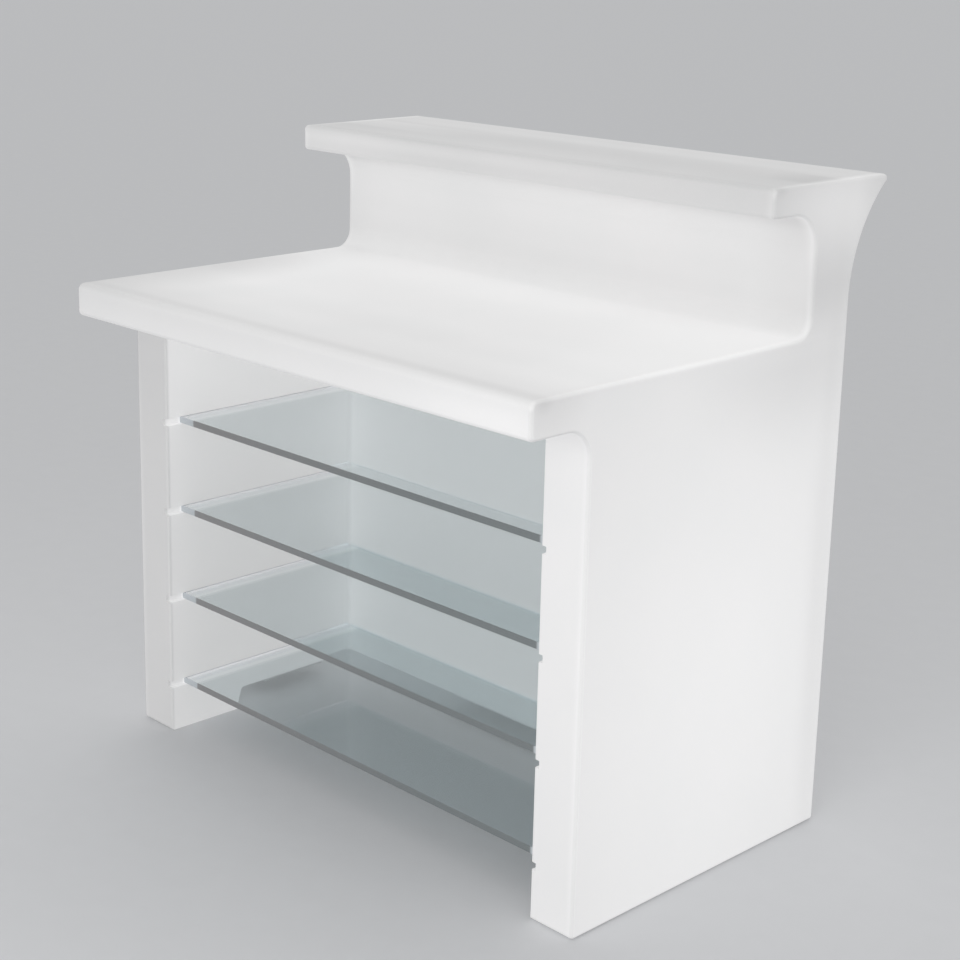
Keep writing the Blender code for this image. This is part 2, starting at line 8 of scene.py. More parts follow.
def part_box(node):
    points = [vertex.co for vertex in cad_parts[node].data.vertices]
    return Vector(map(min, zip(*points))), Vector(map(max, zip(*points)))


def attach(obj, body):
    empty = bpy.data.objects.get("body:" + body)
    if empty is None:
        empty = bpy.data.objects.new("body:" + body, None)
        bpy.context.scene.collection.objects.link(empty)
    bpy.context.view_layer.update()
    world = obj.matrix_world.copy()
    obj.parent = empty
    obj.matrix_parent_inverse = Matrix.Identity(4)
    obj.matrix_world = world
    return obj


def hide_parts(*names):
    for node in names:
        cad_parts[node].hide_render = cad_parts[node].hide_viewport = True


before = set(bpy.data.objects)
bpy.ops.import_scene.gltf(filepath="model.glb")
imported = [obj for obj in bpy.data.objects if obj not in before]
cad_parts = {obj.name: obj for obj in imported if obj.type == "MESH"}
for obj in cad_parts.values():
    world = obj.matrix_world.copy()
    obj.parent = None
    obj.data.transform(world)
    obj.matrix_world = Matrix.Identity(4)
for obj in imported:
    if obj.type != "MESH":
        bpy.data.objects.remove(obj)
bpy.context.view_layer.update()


# Moulded body
# One hollow piece of white polyethylene, moulded in a turning oven, so that every edge is soft.
# Its side view is drawn as one line of straights and bends, and pulled out along the counter's length.
# The storage bay, the shelf grooves, the recess under the base and the pad seats are then cut out of it.

LENGTH = 1.100
HEIGHT = 1.100
BODY_BASE = 0.0015
WORKTOP_FRONT = -0.4078
LEG_FRONT = -0.2848
BAR_FRONT = 0.1102
RISER_FACE = 0.2242
CUSTOMER_FACE = 0.3237
WORKTOP_UNDERSIDE = 0.799
WORKTOP_TOP = 0.857
BAR_UNDERSIDE = 1.0535
FLARE_START = 0.905
FLARE_RADIUS = 0.245
TIP_RADIUS = 0.007
FLARE_TURN = math.asin((HEIGHT - TIP_RADIUS - FLARE_START) / (FLARE_RADIUS + TIP_RADIUS))
TIP_CENTRE = CUSTOMER_FACE + FLARE_RADIUS - (FLARE_RADIUS + TIP_RADIUS) * math.cos(FLARE_TURN)
WORKTOP_TOP_EDGE = 0.013
WORKTOP_LOW_EDGE = 0.009
BAR_EDGE = 0.008
RISER_TOP_CORNER = 0.056
RISER_LOW_CORNER = 0.033
LEG_TOP_CORNER = 0.045
FOOT_EDGE = 0.0065
END_EDGE = 0.006
END_EDGE_STEPS = 5
BAY_HALF = 0.462
BAY_BACK = 0.1537
BAY_CORNER = 0.010
LEG_INNER_EDGE = 0.004
RECESS_TOP = 0.0355
RECESS_FRONT = -0.1298
RECESS_BACK = 0.2637
RECESS_HALF = 0.532
RECESS_SLOPE = 0.010
RECESS_CORNER = 0.008
GROOVE_DEPTH = 0.010
GROOVE_ROOM_ABOVE = 0.001
GROOVE_ROOM_BELOW = 0.0003
GROOVE_CORNER = 0.0015
GROOVE_LIP = 0.0012
GROOVE_CUT_START = 0.002
CUT_PAST = 0.02
SAME_PLACE = 0.00005

# the drawing planes: across, up, and out of the page
SIDE_VIEW = (Vector((0, 1, 0)), Vector((0, 0, 1)), Vector((1, 0, 0)))
PLAN_VIEW = (Vector((1, 0, 0)), Vector((0, 1, 0)), Vector((0, 0, 1)))
END_VIEW = (Vector((1, 0, 0)), Vector((0, 0, 1)), Vector((0, -1, 0)))


def work_on(piece):
    """Makes a piece the only one that is selected."""
    bpy.ops.object.select_all(action="DESELECT")
    piece.select_set(True)
    bpy.context.view_layer.objects.active = piece


def settle(piece):
    """Leaves edit mode and puts the piece's place, turn and scale into its mesh."""
    bpy.ops.object.mode_set(mode="OBJECT")
    work_on(piece)
    bpy.ops.object.transform_apply(location=True, rotation=True, scale=True)
    return piece


def draw_and_pull(name, view, start, heading, route, low, high):
    """Draws an outline and pulls it from low to high.

    The route has straights, sharp turns and bends. Angles are in degrees, and turns to the left are positive.
    """
    across, up, out = view
    here = across * start[0] + up * start[1] + out * low
    angle = math.radians(heading)
    bpy.ops.object.select_all(action="DESELECT")
    bpy.ops.mesh.primitive_plane_add(size=0.01, location=here)
    piece = bpy.context.object
    piece.name = name
    bpy.ops.object.mode_set(mode="EDIT")
    bpy.ops.mesh.select_mode(type="VERT")
    bpy.ops.mesh.select_all(action="SELECT")
    bpy.ops.mesh.merge(type="CENTER")
    for step, size, *bend in route:
        if step == "straight":
            move = (across * math.cos(angle) + up * math.sin(angle)) * size
            bpy.ops.mesh.extrude_vertices_move(TRANSFORM_OT_translate={"value": move})
            here = here + move
        elif step == "turn":
            angle += math.radians(size)
        else:
            turn = math.radians(bend[0])
            left = across * -math.sin(angle) + up * math.cos(angle)
            centre = here + left * math.copysign(size, turn)
            # four steps a radian, and more on a large bend
            steps = max(3, round(abs(turn) * (4 + size * 80)))
            bpy.ops.mesh.spin(steps=steps, angle=-turn, center=centre, axis=out)
            here = centre + Matrix.Rotation(turn, 3, out) @ (here - centre)
            angle += turn
    bpy.ops.mesh.select_all(action="SELECT")
    bpy.ops.mesh.remove_doubles(threshold=SAME_PLACE)
    bpy.ops.mesh.edge_face_add()
    bpy.ops.mesh.extrude_region_move(TRANSFORM_OT_translate={"value": out * (high - low)})
    bpy.ops.mesh.select_all(action="SELECT")
    bpy.ops.mesh.normals_make_consistent(inside=False)
    return settle(piece)


def pick(piece, what, wanted):
    """Opens a piece in edit mode with those of its edges or faces selected that pass a test."""
    work_on(piece)
    bpy.ops.object.mode_set(mode="EDIT")
    bpy.ops.mesh.select_mode(type=what)
    bpy.ops.mesh.select_all(action="DESELECT")
    bpy.ops.object.mode_set(mode="OBJECT")
    if what == "FACE":
        for face in piece.data.polygons:
            face.select = wanted(face.center, face.normal)
    else:
        points = piece.data.vertices
        for edge in piece.data.edges:
            edge.select = all(wanted(points[i].co) for i in edge.vertices)
    bpy.ops.object.mode_set(mode="EDIT")


def round_edges(radius, steps):
    bpy.ops.mesh.bevel(
        affect="EDGES", offset_type="OFFSET", offset=radius, segments=steps, clamp_overlap=False,
    )


def cut_away(piece, cutter, operation="DIFFERENCE"):
    step = piece.modifiers.new("cut", "BOOLEAN")
    step.operation = operation
    step.object = cutter
    step.solver = "EXACT"
    work_on(piece)
    bpy.ops.object.modifier_apply(modifier=step.name)
    bpy.data.objects.remove(cutter)


def copy_of(piece, name, shift=(0, 0, 0)):
    twin = piece.copy()
    twin.data = piece.data.copy()
    twin.name = name
    bpy.context.scene.collection.objects.link(twin)
    twin.location = shift
    return settle(twin)


def mirror_of(piece, name):
    """The same piece on the counter's other side."""
    twin = copy_of(piece, name)
    twin.scale = (-1, 1, 1)
    settle(twin)
    bpy.ops.object.mode_set(mode="EDIT")
    bpy.ops.mesh.select_all(action="SELECT")
    bpy.ops.mesh.normals_make_consistent(inside=False)
    return settle(twin)


def shade_round(piece, degrees=30):
    """Shades bends round and leaves flats flat, with a crease where faces meet at more than an angle."""
    work_on(piece)
    bpy.ops.object.shade_smooth_by_angle(angle=math.radians(degrees))
    step = piece.modifiers.new("flats", "WEIGHTED_NORMAL")
    step.keep_sharp = True
    step.weight = 100
    bpy.ops.object.modifier_apply(modifier=step.name)


body = draw_and_pull("body", SIDE_VIEW, (LEG_FRONT, BODY_BASE + FOOT_EDGE), 90, [
    ("straight", WORKTOP_UNDERSIDE - LEG_TOP_CORNER - BODY_BASE - FOOT_EDGE),
    ("bend", LEG_TOP_CORNER, 90),
    ("straight", LEG_FRONT - LEG_TOP_CORNER - WORKTOP_FRONT - WORKTOP_LOW_EDGE),
    ("bend", WORKTOP_LOW_EDGE, -90),
    ("straight", WORKTOP_TOP - WORKTOP_UNDERSIDE - WORKTOP_LOW_EDGE - WORKTOP_TOP_EDGE),
    ("bend", WORKTOP_TOP_EDGE, -90),
    ("straight", RISER_FACE - RISER_LOW_CORNER - WORKTOP_FRONT - WORKTOP_TOP_EDGE),
    ("bend", RISER_LOW_CORNER, 90),
    ("straight", BAR_UNDERSIDE - RISER_TOP_CORNER - WORKTOP_TOP - RISER_LOW_CORNER),
    ("bend", RISER_TOP_CORNER, 90),
    ("straight", RISER_FACE - RISER_TOP_CORNER - BAR_FRONT - BAR_EDGE),
    ("bend", BAR_EDGE, -90),
    ("straight", HEIGHT - BAR_UNDERSIDE - 2 * BAR_EDGE),
    ("bend", BAR_EDGE, -90),
    ("straight", TIP_CENTRE - BAR_FRONT - BAR_EDGE),
    ("bend", TIP_RADIUS, -90 - math.degrees(FLARE_TURN)),
    ("bend", FLARE_RADIUS, math.degrees(FLARE_TURN)),
    ("straight", FLARE_START - BODY_BASE - FOOT_EDGE),
    ("bend", FOOT_EDGE, -90),
    ("straight", CUSTOMER_FACE - LEG_FRONT - 2 * FOOT_EDGE),
    ("bend", FOOT_EDGE, -90),
], END_EDGE - LENGTH / 2, LENGTH / 2 - END_EDGE)
pick(body, "FACE", lambda middle, normal: abs(normal.x) > 0.99)
angles = [math.radians(90 * step / END_EDGE_STEPS) for step in range(END_EDGE_STEPS + 1)]
for last, this in zip(angles, angles[1:]):
    bpy.ops.mesh.inset(
        thickness=END_EDGE * (math.cos(last) - math.cos(this)),
        depth=END_EDGE * (math.sin(this) - math.sin(last)),
    )
settle(body)

# the bay in plan, from the right leg's front edge round the back to the left leg's
bay_mouth = LEG_FRONT - LEG_TOP_CORNER - CUT_PAST
side_wall = BAY_BACK - BAY_CORNER - LEG_FRONT - LEG_INNER_EDGE
cut_away(body, draw_and_pull("bay", PLAN_VIEW, (BAY_HALF + LEG_INNER_EDGE, bay_mouth), 90, [
    ("straight", LEG_FRONT - bay_mouth), ("turn", 90), ("bend", LEG_INNER_EDGE, -90),
    ("straight", side_wall), ("bend", BAY_CORNER, 90),
    ("straight", 2 * (BAY_HALF - BAY_CORNER)), ("bend", BAY_CORNER, 90),
    ("straight", side_wall), ("bend", LEG_INNER_EDGE, -90), ("turn", 90),
    ("straight", LEG_FRONT - bay_mouth),
], -CUT_PAST, WORKTOP_UNDERSIDE))

# the recess under the base, with a sloped front that lets the body off its mould
slope = math.atan2(RECESS_TOP - BODY_BASE, RECESS_SLOPE)
slope_length = math.hypot(RECESS_TOP - BODY_BASE, RECESS_SLOPE) - RECESS_CORNER * math.tan(slope / 2)
recess_length = RECESS_BACK - RECESS_FRONT - RECESS_SLOPE - RECESS_CORNER * (1 + math.tan(slope / 2))
cut_away(body, draw_and_pull("recess", SIDE_VIEW, (RECESS_FRONT, BODY_BASE - CUT_PAST), 90, [
    ("straight", CUT_PAST), ("turn", math.degrees(slope) - 90), ("straight", slope_length),
    ("bend", RECESS_CORNER, -math.degrees(slope)),
    ("straight", recess_length), ("bend", RECESS_CORNER, -90),
    ("straight", RECESS_TOP - RECESS_CORNER - BODY_BASE + CUT_PAST),
], -RECESS_HALF, RECESS_HALF))

# a groove for each end of each shelf, with a soft lip, drawn once and copied
shelf_boxes = {f"shelf_{number}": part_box(f"shelf_{number}") for number in (1, 2, 3, 4)}
lowest = shelf_boxes["shelf_4"][0].z
groove_low = lowest - GROOVE_ROOM_BELOW
groove_height = shelf_boxes["shelf_4"][1].z + GROOVE_ROOM_ABOVE - groove_low
groove = draw_and_pull("groove", END_VIEW, (BAY_HALF - GROOVE_CUT_START, groove_low - GROOVE_LIP), 0, [
    ("straight", GROOVE_CUT_START), ("turn", 90), ("bend", GROOVE_LIP, -90),
    ("straight", GROOVE_DEPTH - GROOVE_LIP - GROOVE_CORNER), ("bend", GROOVE_CORNER, 90),
    ("straight", groove_height - 2 * GROOVE_CORNER), ("bend", GROOVE_CORNER, 90),
    ("straight", GROOVE_DEPTH - GROOVE_LIP - GROOVE_CORNER), ("bend", GROOVE_LIP, -90), ("turn", 90),
    ("straight", GROOVE_CUT_START),
], -BAY_BACK, -bay_mouth)
for name, (low, high) in shelf_boxes.items():
    right_groove = copy_of(groove, "right_groove", (0, 0, low.z - lowest))
    cut_away(body, mirror_of(right_groove, "left_groove"))
    cut_away(body, right_groove)
bpy.data.objects.remove(groove)


def rounded_block(name, low, high, corner):
    """A block with upright rounded corners, drawn in plan."""
    size = high - low
    side = ("straight", size.y - 2 * corner)
    end = ("straight", size.x - 2 * corner)
    bend = ("bend", corner, 90)
    return draw_and_pull(
        name, PLAN_VIEW, (high.x, low.y + corner), 90,
        [side, bend, end, bend, side, bend, end, bend], low.z, high.z,
    )


PAD_CORNER = 0.005
PAD_GAP = 0.0003
pad_names = [f"foot_pad_{place}_{side}" for place in ("front", "rear") for side in ("left", "right")]
for name in pad_names:
    low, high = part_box(name)
    gap = Vector((PAD_GAP, PAD_GAP, PAD_GAP))
    cut_away(body, rounded_block("pad_seat", low - gap - Vector((0, 0, CUT_PAST)), high + gap, PAD_CORNER))
shade_round(body)


def colour(code):
    """An sRGB hex value as the linear colour that the shaders use."""
    parts = [int(code[i:i + 2], 16) / 255 for i in (1, 3, 5)]
    return (*[c / 12.92 if c <= 0.04045 else ((c + 0.055) / 1.055) ** 2.4 for c in parts], 1.0)


def add(finish, kind, settings=None, **inputs):
    """Adds a node to a finish. Inputs go by name or by _number, and are values or other nodes' outputs."""
    node = finish.node_tree.nodes.new(kind)
    for name, value in (settings or {}).items():
        setattr(node, name, value)
    for name, value in inputs.items():
        socket = node.inputs[int(name[1:]) if name[1:].isdigit() else name.replace("_", " ")]
        if isinstance(value, bpy.types.NodeSocket):
            finish.node_tree.links.new(value, socket)
        else:
            socket.default_value = value
    return node


def new_finish(name, settings):
    """A new material with its shader's own sockets set, and the object's coordinates."""
    finish = bpy.data.materials.new(name)
    finish.use_nodes = True
    shader = finish.node_tree.nodes["Principled BSDF"]
    for socket, value in settings.items():
        shader.inputs[socket].default_value = value
    place = add(finish, "ShaderNodeTexCoord").outputs["Object"]
    return finish, shader, place


def feed(finish, output, shader, socket):
    finish.node_tree.links.new(output, shader.inputs[socket])


# Rotomoulded polyethylene: the powder melts into a satin skin with slow waves and a faint orange peel.
# The peel is drawn a little coarser than it is, so that it shows.
PEEL = 0.004
WAVES = 0.14
poly, poly_shader, place = new_finish("rotomoulded white polyethylene", {
    "IOR": 1.51, "Emission Color": colour("#FFFFFF"),
})
peel = add(poly, "ShaderNodeTexNoise", Vector=place, Scale=1 / PEEL, Detail=3.0, Roughness=0.55).outputs[0]
waves = add(poly, "ShaderNodeTexNoise", Vector=place, Scale=1 / WAVES, Detail=2.0, Roughness=0.4).outputs[0]
tone = add(poly, "ShaderNodeMath", {"operation": "MULTIPLY_ADD"}, _0=peel, _1=0.5, _2=waves).outputs[0]
tones = add(poly, "ShaderNodeValToRGB", Fac=tone)
tones.color_ramp.elements[0].position = 0.45
tones.color_ramp.elements[0].color = colour("#CACACA")
tones.color_ramp.elements[1].position = 1.05
tones.color_ramp.elements[1].color = colour("#CECDCD")
feed(poly, tones.outputs["Color"], poly_shader, "Base Color")
gloss = add(poly, "ShaderNodeMapRange", Value=peel, To_Min=0.46, To_Max=0.60).outputs[0]
feed(poly, gloss, poly_shader, "Roughness")
slow_bump = add(poly, "ShaderNodeBump", Height=waves, Strength=0.15, Distance=0.002).outputs[0]
peel_bump = add(poly, "ShaderNodeBump", Height=peel, Strength=0.12, Distance=0.0006, Normal=slow_bump)
feed(poly, peel_bump.outputs[0], poly_shader, "Normal")

# painted glow: the light of the lamps inside, which comes through the skin, is painted on as emission, and
# fades from the worktop to the bar top
PAINTED_GLOW_BELOW = 0.31
PAINTED_GLOW_AT_TOP = 0.145
END = LENGTH / 2
parts = add(poly, "ShaderNodeSeparateXYZ", Vector=place)
along, across, height = parts.outputs
both_ends = add(poly, "ShaderNodeMath", {"operation": "ABSOLUTE"}, _0=along).outputs[0]
folded = add(poly, "ShaderNodeCombineXYZ", X=both_ends, Y=across, Z=height).outputs[0]
soft = {"interpolation_type": "SMOOTHSTEP"}
glow = add(
    poly, "ShaderNodeMapRange", soft, Value=height,
    From_Min=0.82, From_Max=HEIGHT, To_Min=PAINTED_GLOW_BELOW, To_Max=PAINTED_GLOW_AT_TOP,
).outputs[0]

# it is painted lighter beside the lamps and darker away from them, and lighter or darker where the sides and
# tops are lit or shaded, each time in a ball with a centre and a reach: painted light and painted shade
for source, centre, reach, strength in (
    (folded, (END, 0.10, 0.35), (0.02, 0.80, 0.95), 0.14),  # the ends
    (folded, (END, 0.345, 0.38), (0.03, 0.11, 0.75), -0.14),  # their rear edges
    (folded, (END, -0.36, 0.80), (0.03, 0.28, 0.24), -0.015),  # the ends of the worktop
    (folded, (END, 0.20, 0.86), (0.012, 0.34, 0.22), -0.09),  # the ends at the riser's foot
    (folded, (END, 0.25, 0.96), (0.03, 0.24, 0.14), -0.01),  # the ends behind the riser
    (folded, (END, 0.28, 1.07), (0.03, 0.26, 0.15), 0.16),  # the ends of the bar top and the flare
    (folded, (0.00, 0.33, 0.45), (1.40, 0.06, 0.90), 0.13),  # the customer's side
    (folded, (0.00, 0.15, 0.86), (1.20, 0.28, 0.06), 0.06),  # the worktop's rear
    (folded, (0.00, 0.16, 1.03), (0.75, 0.12, 0.20), 0.05),  # the corner above the riser
    (place, (-0.20, 0.20, HEIGHT), (3.00, 0.22, 0.008), -0.078),  # the bar top
    (place, (-0.25, BAR_FRONT, 1.084), (0.80, 0.010, 0.016), 0.04),  # its front face
    (place, (-END, BAR_FRONT, 1.075), (0.45, 0.012, 0.06), 0.09),  # the left of the bar's front edge
    (place, (0.00, -0.10, WORKTOP_TOP), (3.00, 3.00, 0.012), -0.025),  # the worktop
    (place, (0.05, -0.25, WORKTOP_TOP), (0.75, 0.13, 0.012), -0.045),  # its front half
    (place, (-0.57, -0.08, WORKTOP_TOP), (0.22, 0.45, 0.012), -0.16),  # its left end
    (place, (-0.52, -0.36, WORKTOP_TOP), (0.40, 0.22, 0.015), -0.07),  # its left front corner
    (place, (0.55, 0.00, WORKTOP_TOP), (0.35, 0.45, 0.012), 0.06),  # its right end
    (place, (0.48, WORKTOP_FRONT, 0.825), (0.32, 0.010, 0.06), 0.07),  # the right of its front edge
):
    moved = add(
        poly, "ShaderNodeMapping", {"vector_type": "TEXTURE"}, Vector=source, Location=centre, Scale=reach,
    ).outputs[0]
    ball = add(poly, "ShaderNodeTexGradient", {"gradient_type": "SPHERICAL"}, Vector=moved).outputs["Fac"]
    painted_swell = add(poly, "ShaderNodeMapRange", soft, Value=ball, To_Max=strength).outputs[0]
    glow = add(poly, "ShaderNodeMath", {"operation": "ADD"}, _0=glow, _1=painted_swell).outputs[0]

# painted shade: the glow is dimmed along the front edges of the worktop and the bar top
for line_across, line_height, span, left in (
    (WORKTOP_FRONT + 0.034, WORKTOP_TOP + 0.010, 0.11, 0.75),
    (WORKTOP_FRONT + 0.024, WORKTOP_TOP, 0.028, 0.75),
    (BAR_FRONT + 0.016, HEIGHT + 0.004, 0.022, 0.75),
):
    line = add(poly, "ShaderNodeCombineXYZ", X=along, Y=line_across, Z=line_height).outputs[0]
    apart = add(poly, "ShaderNodeVectorMath", {"operation": "DISTANCE"}, _0=place, _1=line).outputs["Value"]
    painted_edge_shade = add(poly, "ShaderNodeMapRange", soft, Value=apart, From_Max=span, To_Min=left).outputs[0]
    glow = add(poly, "ShaderNodeMath", {"operation": "MULTIPLY"}, _0=glow, _1=painted_edge_shade).outputs[0]

# elsewhere painted light and painted shade change it: painted shade on the ends' upright corners, the riser's
# foot and the left leg's front, a painted highlight on the worktop's right rim, and painted light on the
# riser, in the bay and in the shelf grooves, each by an amount that soft steps hold to one place, each from
# one coordinate to another
on_corner = ((both_ends, END - 0.0070, END - 0.0035), (both_ends, END, END - 0.0010))
on_riser = (
    (both_ends, END - 0.003, END - 0.012),
    (across, RISER_FACE - 0.034, RISER_FACE - 0.002),
    (across, RISER_FACE + 0.080, RISER_FACE + 0.060),
)
on_right_rim = ((along, END - 0.009, END - 0.005), (across, 0.200, 0.170))
in_bay = (
    (both_ends, BAY_HALF + 0.018, BAY_HALF + 0.012),
    (across, BAY_BACK + 0.011, BAY_BACK + 0.001),
    (across, LEG_FRONT + 0.001, LEG_FRONT + 0.009),
    (height, WORKTOP_UNDERSIDE + 0.011, WORKTOP_UNDERSIDE + 0.001),
)
pane_front = shelf_boxes["shelf_4"][0].y
in_groove = ((both_ends, BAY_HALF, BAY_HALF + 0.0025), (across, pane_front - 0.004, pane_front + 0.004))
for amount, steps in (
    (-0.09, (*on_corner, (height, 0.850, 0.840))),  # the ends' upright corners, below the worktop's top
    (-0.06, (*on_corner, (height, 0.865, 0.890), (height, 1.094, 1.080))),  # and above it
    (0.03, (*on_right_rim, (height, 0.852, 0.855), (height, 0.870, 0.860))),  # the worktop's right rim
    (-0.05, (*on_riser, (height, 0.935, 0.885))),  # the riser's foot
    (0.065, (*on_riser, (height, 0.915, 0.995), (height, 1.050, 1.020))),  # its upper half
    (0.045, (*on_riser, (along, -0.15, -0.50))),  # its left end
    (-0.05, (*on_riser, (along, 0.42, 0.53))),  # its right end
    (-0.143, ((along, 0.30, -0.30), (height, 0.80, 0.76), (across, -0.276, -0.284))),  # the left leg's front
    (0.025, in_bay),  # the bay
    (0.05, (*in_bay, (height, 0.20, 0.80))),  # its upper part
    (-0.03, (*in_bay, (both_ends, BAY_HALF - 0.0070, BAY_HALF - 0.0005))),  # its side walls
    (0.16, (*in_bay, *in_groove)),  # the shelf grooves
):
    for source, start, end in steps:
        step = add(poly, "ShaderNodeMapRange", soft, Value=source, From_Min=start, From_Max=end).outputs[0]
        amount = add(poly, "ShaderNodeMath", {"operation": "MULTIPLY"}, _0=amount, _1=step).outputs[0]
    glow = add(poly, "ShaderNodeMath", {"operation": "ADD"}, _0=glow, _1=amount).outputs[0]
feed(poly, glow, poly_shader, "Emission Strength")

body.data.materials.clear()
body.data.materials.append(poly)
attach(body, "counter")
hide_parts("body_shell")


# Rubber pads
# Four moulded pads of black rubber, pressed into shallow seats under the feet.
# Cross grooves in their treads keep them from sliding on a wet floor.

TREAD_PITCH = 0.010
TREAD_GROOVE = 0.003
TREAD_DEPTH = 0.0008
PAD_EDGE = 0.0005

# Moulded rubber: nearly matt, with a fine grit off the mould that holds a little grey dust.
# The grit is drawn coarser than it is.
GRIT = 0.0015
rubber, rubber_shader, place = new_finish("moulded black rubber", {"IOR": 1.52, "Specular IOR Level": 0.35})
grit = add(rubber, "ShaderNodeTexNoise", Vector=place, Scale=1 / GRIT, Detail=4.0).outputs[0]
dust = add(rubber, "ShaderNodeValToRGB", Fac=grit)
dust.color_ramp.elements[0].position = 0.35
dust.color_ramp.elements[0].color = colour("#232324")
dust.color_ramp.elements[1].position = 0.75
dust.color_ramp.elements[1].color = colour("#3A3A3A")
feed(rubber, dust.outputs["Color"], rubber_shader, "Base Color")
rubber_gloss = add(rubber, "ShaderNodeMapRange", Value=grit, To_Min=0.7, To_Max=0.95).outputs[0]
feed(rubber, rubber_gloss, rubber_shader, "Roughness")
grit_bump = add(rubber, "ShaderNodeBump", Height=grit, Strength=0.4, Distance=0.0003).outputs[0]
feed(rubber, grit_bump, rubber_shader, "Normal")

for name in pad_names:
    low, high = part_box(name)
    pad = rounded_block(name.replace("foot_pad", "tread_pad"), low, high, PAD_CORNER)
    along = Vector((0, 1, 0)) if high.y - low.y > high.x - low.x else Vector((1, 0, 0))
    first = along.dot(low)
    grooves = range(1, int((along.dot(high) - first) / TREAD_PITCH))
    starts = [first + number * TREAD_PITCH for number in grooves]
    for start in starts:
        for cut in (start, start + TREAD_GROOVE):
            pick(pad, "FACE", lambda middle, normal: True)
            bpy.ops.mesh.bisect(plane_co=along * cut, plane_no=along)
            bpy.ops.object.mode_set(mode="OBJECT")
    pick(pad, "FACE", lambda middle, normal: normal.z < -0.9 and any(
        start < along.dot(middle) < start + TREAD_GROOVE for start in starts))
    bpy.ops.mesh.inset(thickness=PAD_EDGE, use_individual=True)
    bpy.ops.mesh.extrude_region_move(TRANSFORM_OT_translate={"value": (0, 0, TREAD_DEPTH)})
    settle(pad)
    pad.data.materials.clear()
    pad.data.materials.append(rubber)
    shade_round(pad)
    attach(pad, "counter")
    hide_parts(name)


# Glass shelves
# Four panes of 12 mm toughened float glass in a light grey green tint, which slide in the end walls' grooves.
# Each is cut, ground round its edges with a fine wheel, and then toughened.

PANE_CORNER = 0.003
ARRIS = 0.0012
PALE_END = 0.034
PALE_END_BLUR = 0.002

# Tinted float glass: clear and cool, with painted light that makes it paler at its ends beside the white
# walls, with faint smears from wiping and the slow waves that the rollers of the toughening oven leave.
SMEARS = 0.09
ROLLER_WAVES = 0.25
glass, glass_shader, place = new_finish("grey tinted float glass", {"IOR": 1.52, "Transmission Weight": 1.0})
parts = add(glass, "ShaderNodeSeparateXYZ", Vector=place)
both_ends = add(glass, "ShaderNodeMath", {"operation": "ABSOLUTE"}, _0=parts.outputs["X"]).outputs[0]
to_wall = add(glass, "ShaderNodeMapRange", Value=both_ends, From_Min=BAY_HALF - PALE_END, From_Max=BAY_HALF)
# painted light: the tint turns paler over the last PALE_END towards each wall
tint = add(glass, "ShaderNodeValToRGB", Fac=to_wall.outputs[0])
tint.color_ramp.elements[0].color = colour("#DAE2E4")
tint.color_ramp.elements[1].position = 0.08
tint.color_ramp.elements[1].color = colour("#F4F9FA")
for position, code in ((0.55, "#F4F9FA"), (0.63, "#EBF1F5"), (0.80, "#EBF1F5"), (0.88, "#FCFCFE")):
    band = tint.color_ramp.elements.new(position)
    band.color = colour(code)
feed(glass, tint.outputs["Color"], glass_shader, "Base Color")
smears = add(
    glass, "ShaderNodeTexNoise", Vector=place, Scale=1 / SMEARS, Detail=3.0, Distortion=0.6,
).outputs[0]
wiped = add(glass, "ShaderNodeMapRange", Value=smears, From_Min=0.45, From_Max=0.8, To_Max=0.045).outputs[0]
feed(glass, wiped, glass_shader, "Roughness")
rollers = add(glass, "ShaderNodeTexNoise", Vector=place, Scale=1 / ROLLER_WAVES, Detail=0.0).outputs[0]
roller_bump = add(glass, "ShaderNodeBump", Height=rollers, Strength=0.1, Distance=0.0005).outputs[0]
feed(glass, roller_bump, glass_shader, "Normal")

# Ground glass: the edge scatters light and looks mid grey with fine marks of the wheel, drawn coarser than
# they are. Painted shade makes it darker away from the left wall, and painted light makes it pale near the
# walls, which light it, and makes its back edge glow.
WHEEL_MARKS = 0.0012
ground, ground_shader, place = new_finish("ground glass edge", {
    "IOR": 1.52, "Roughness": 0.38, "Emission Color": colour("#848A8B"),
})
parts = add(ground, "ShaderNodeSeparateXYZ", Vector=place)
both_ends = add(ground, "ShaderNodeMath", {"operation": "ABSOLUTE"}, _0=parts.outputs["X"]).outputs[0]
near_end = add(
    ground, "ShaderNodeMapRange", Value=both_ends,
    From_Min=BAY_HALF - PALE_END - PALE_END_BLUR, From_Max=BAY_HALF - PALE_END + PALE_END_BLUR,
).outputs[0]
near_back = add(
    ground, "ShaderNodeMapRange", Value=parts.outputs["Y"], From_Min=0.10, From_Max=0.12,
).outputs[0]
near_wall = add(ground, "ShaderNodeMath", {"operation": "MAXIMUM"}, _0=near_end, _1=near_back).outputs[0]
away = add(ground, "ShaderNodeMapRange", Value=parts.outputs["X"], From_Min=-0.35, From_Max=0.20).outputs[0]
streaks = add(ground, "ShaderNodeMapping", Vector=place, Scale=(0.12, 0.12, 1.0)).outputs[0]
wheel = add(ground, "ShaderNodeTexNoise", Vector=streaks, Scale=1 / WHEEL_MARKS, Detail=2.0).outputs[0]
rgba = {"data_type": "RGBA"}
lit = add(ground, "ShaderNodeMix", rgba, Factor=wheel, _6=colour("#868687"), _7=colour("#99999A")).outputs[2]
dim = add(ground, "ShaderNodeMix", rgba, Factor=wheel, _6=colour("#747A7C"), _7=colour("#868C8D")).outputs[2]
pale = add(ground, "ShaderNodeMix", rgba, Factor=wheel, _6=colour("#BEC5CA"), _7=colour("#CFD4D8")).outputs[2]
painted_falloff = add(ground, "ShaderNodeMix", rgba, Factor=away, _6=lit, _7=dim).outputs[2]
edge_colour = add(ground, "ShaderNodeMix", rgba, Factor=near_wall, _6=painted_falloff, _7=pale).outputs[2]
feed(ground, edge_colour, ground_shader, "Base Color")
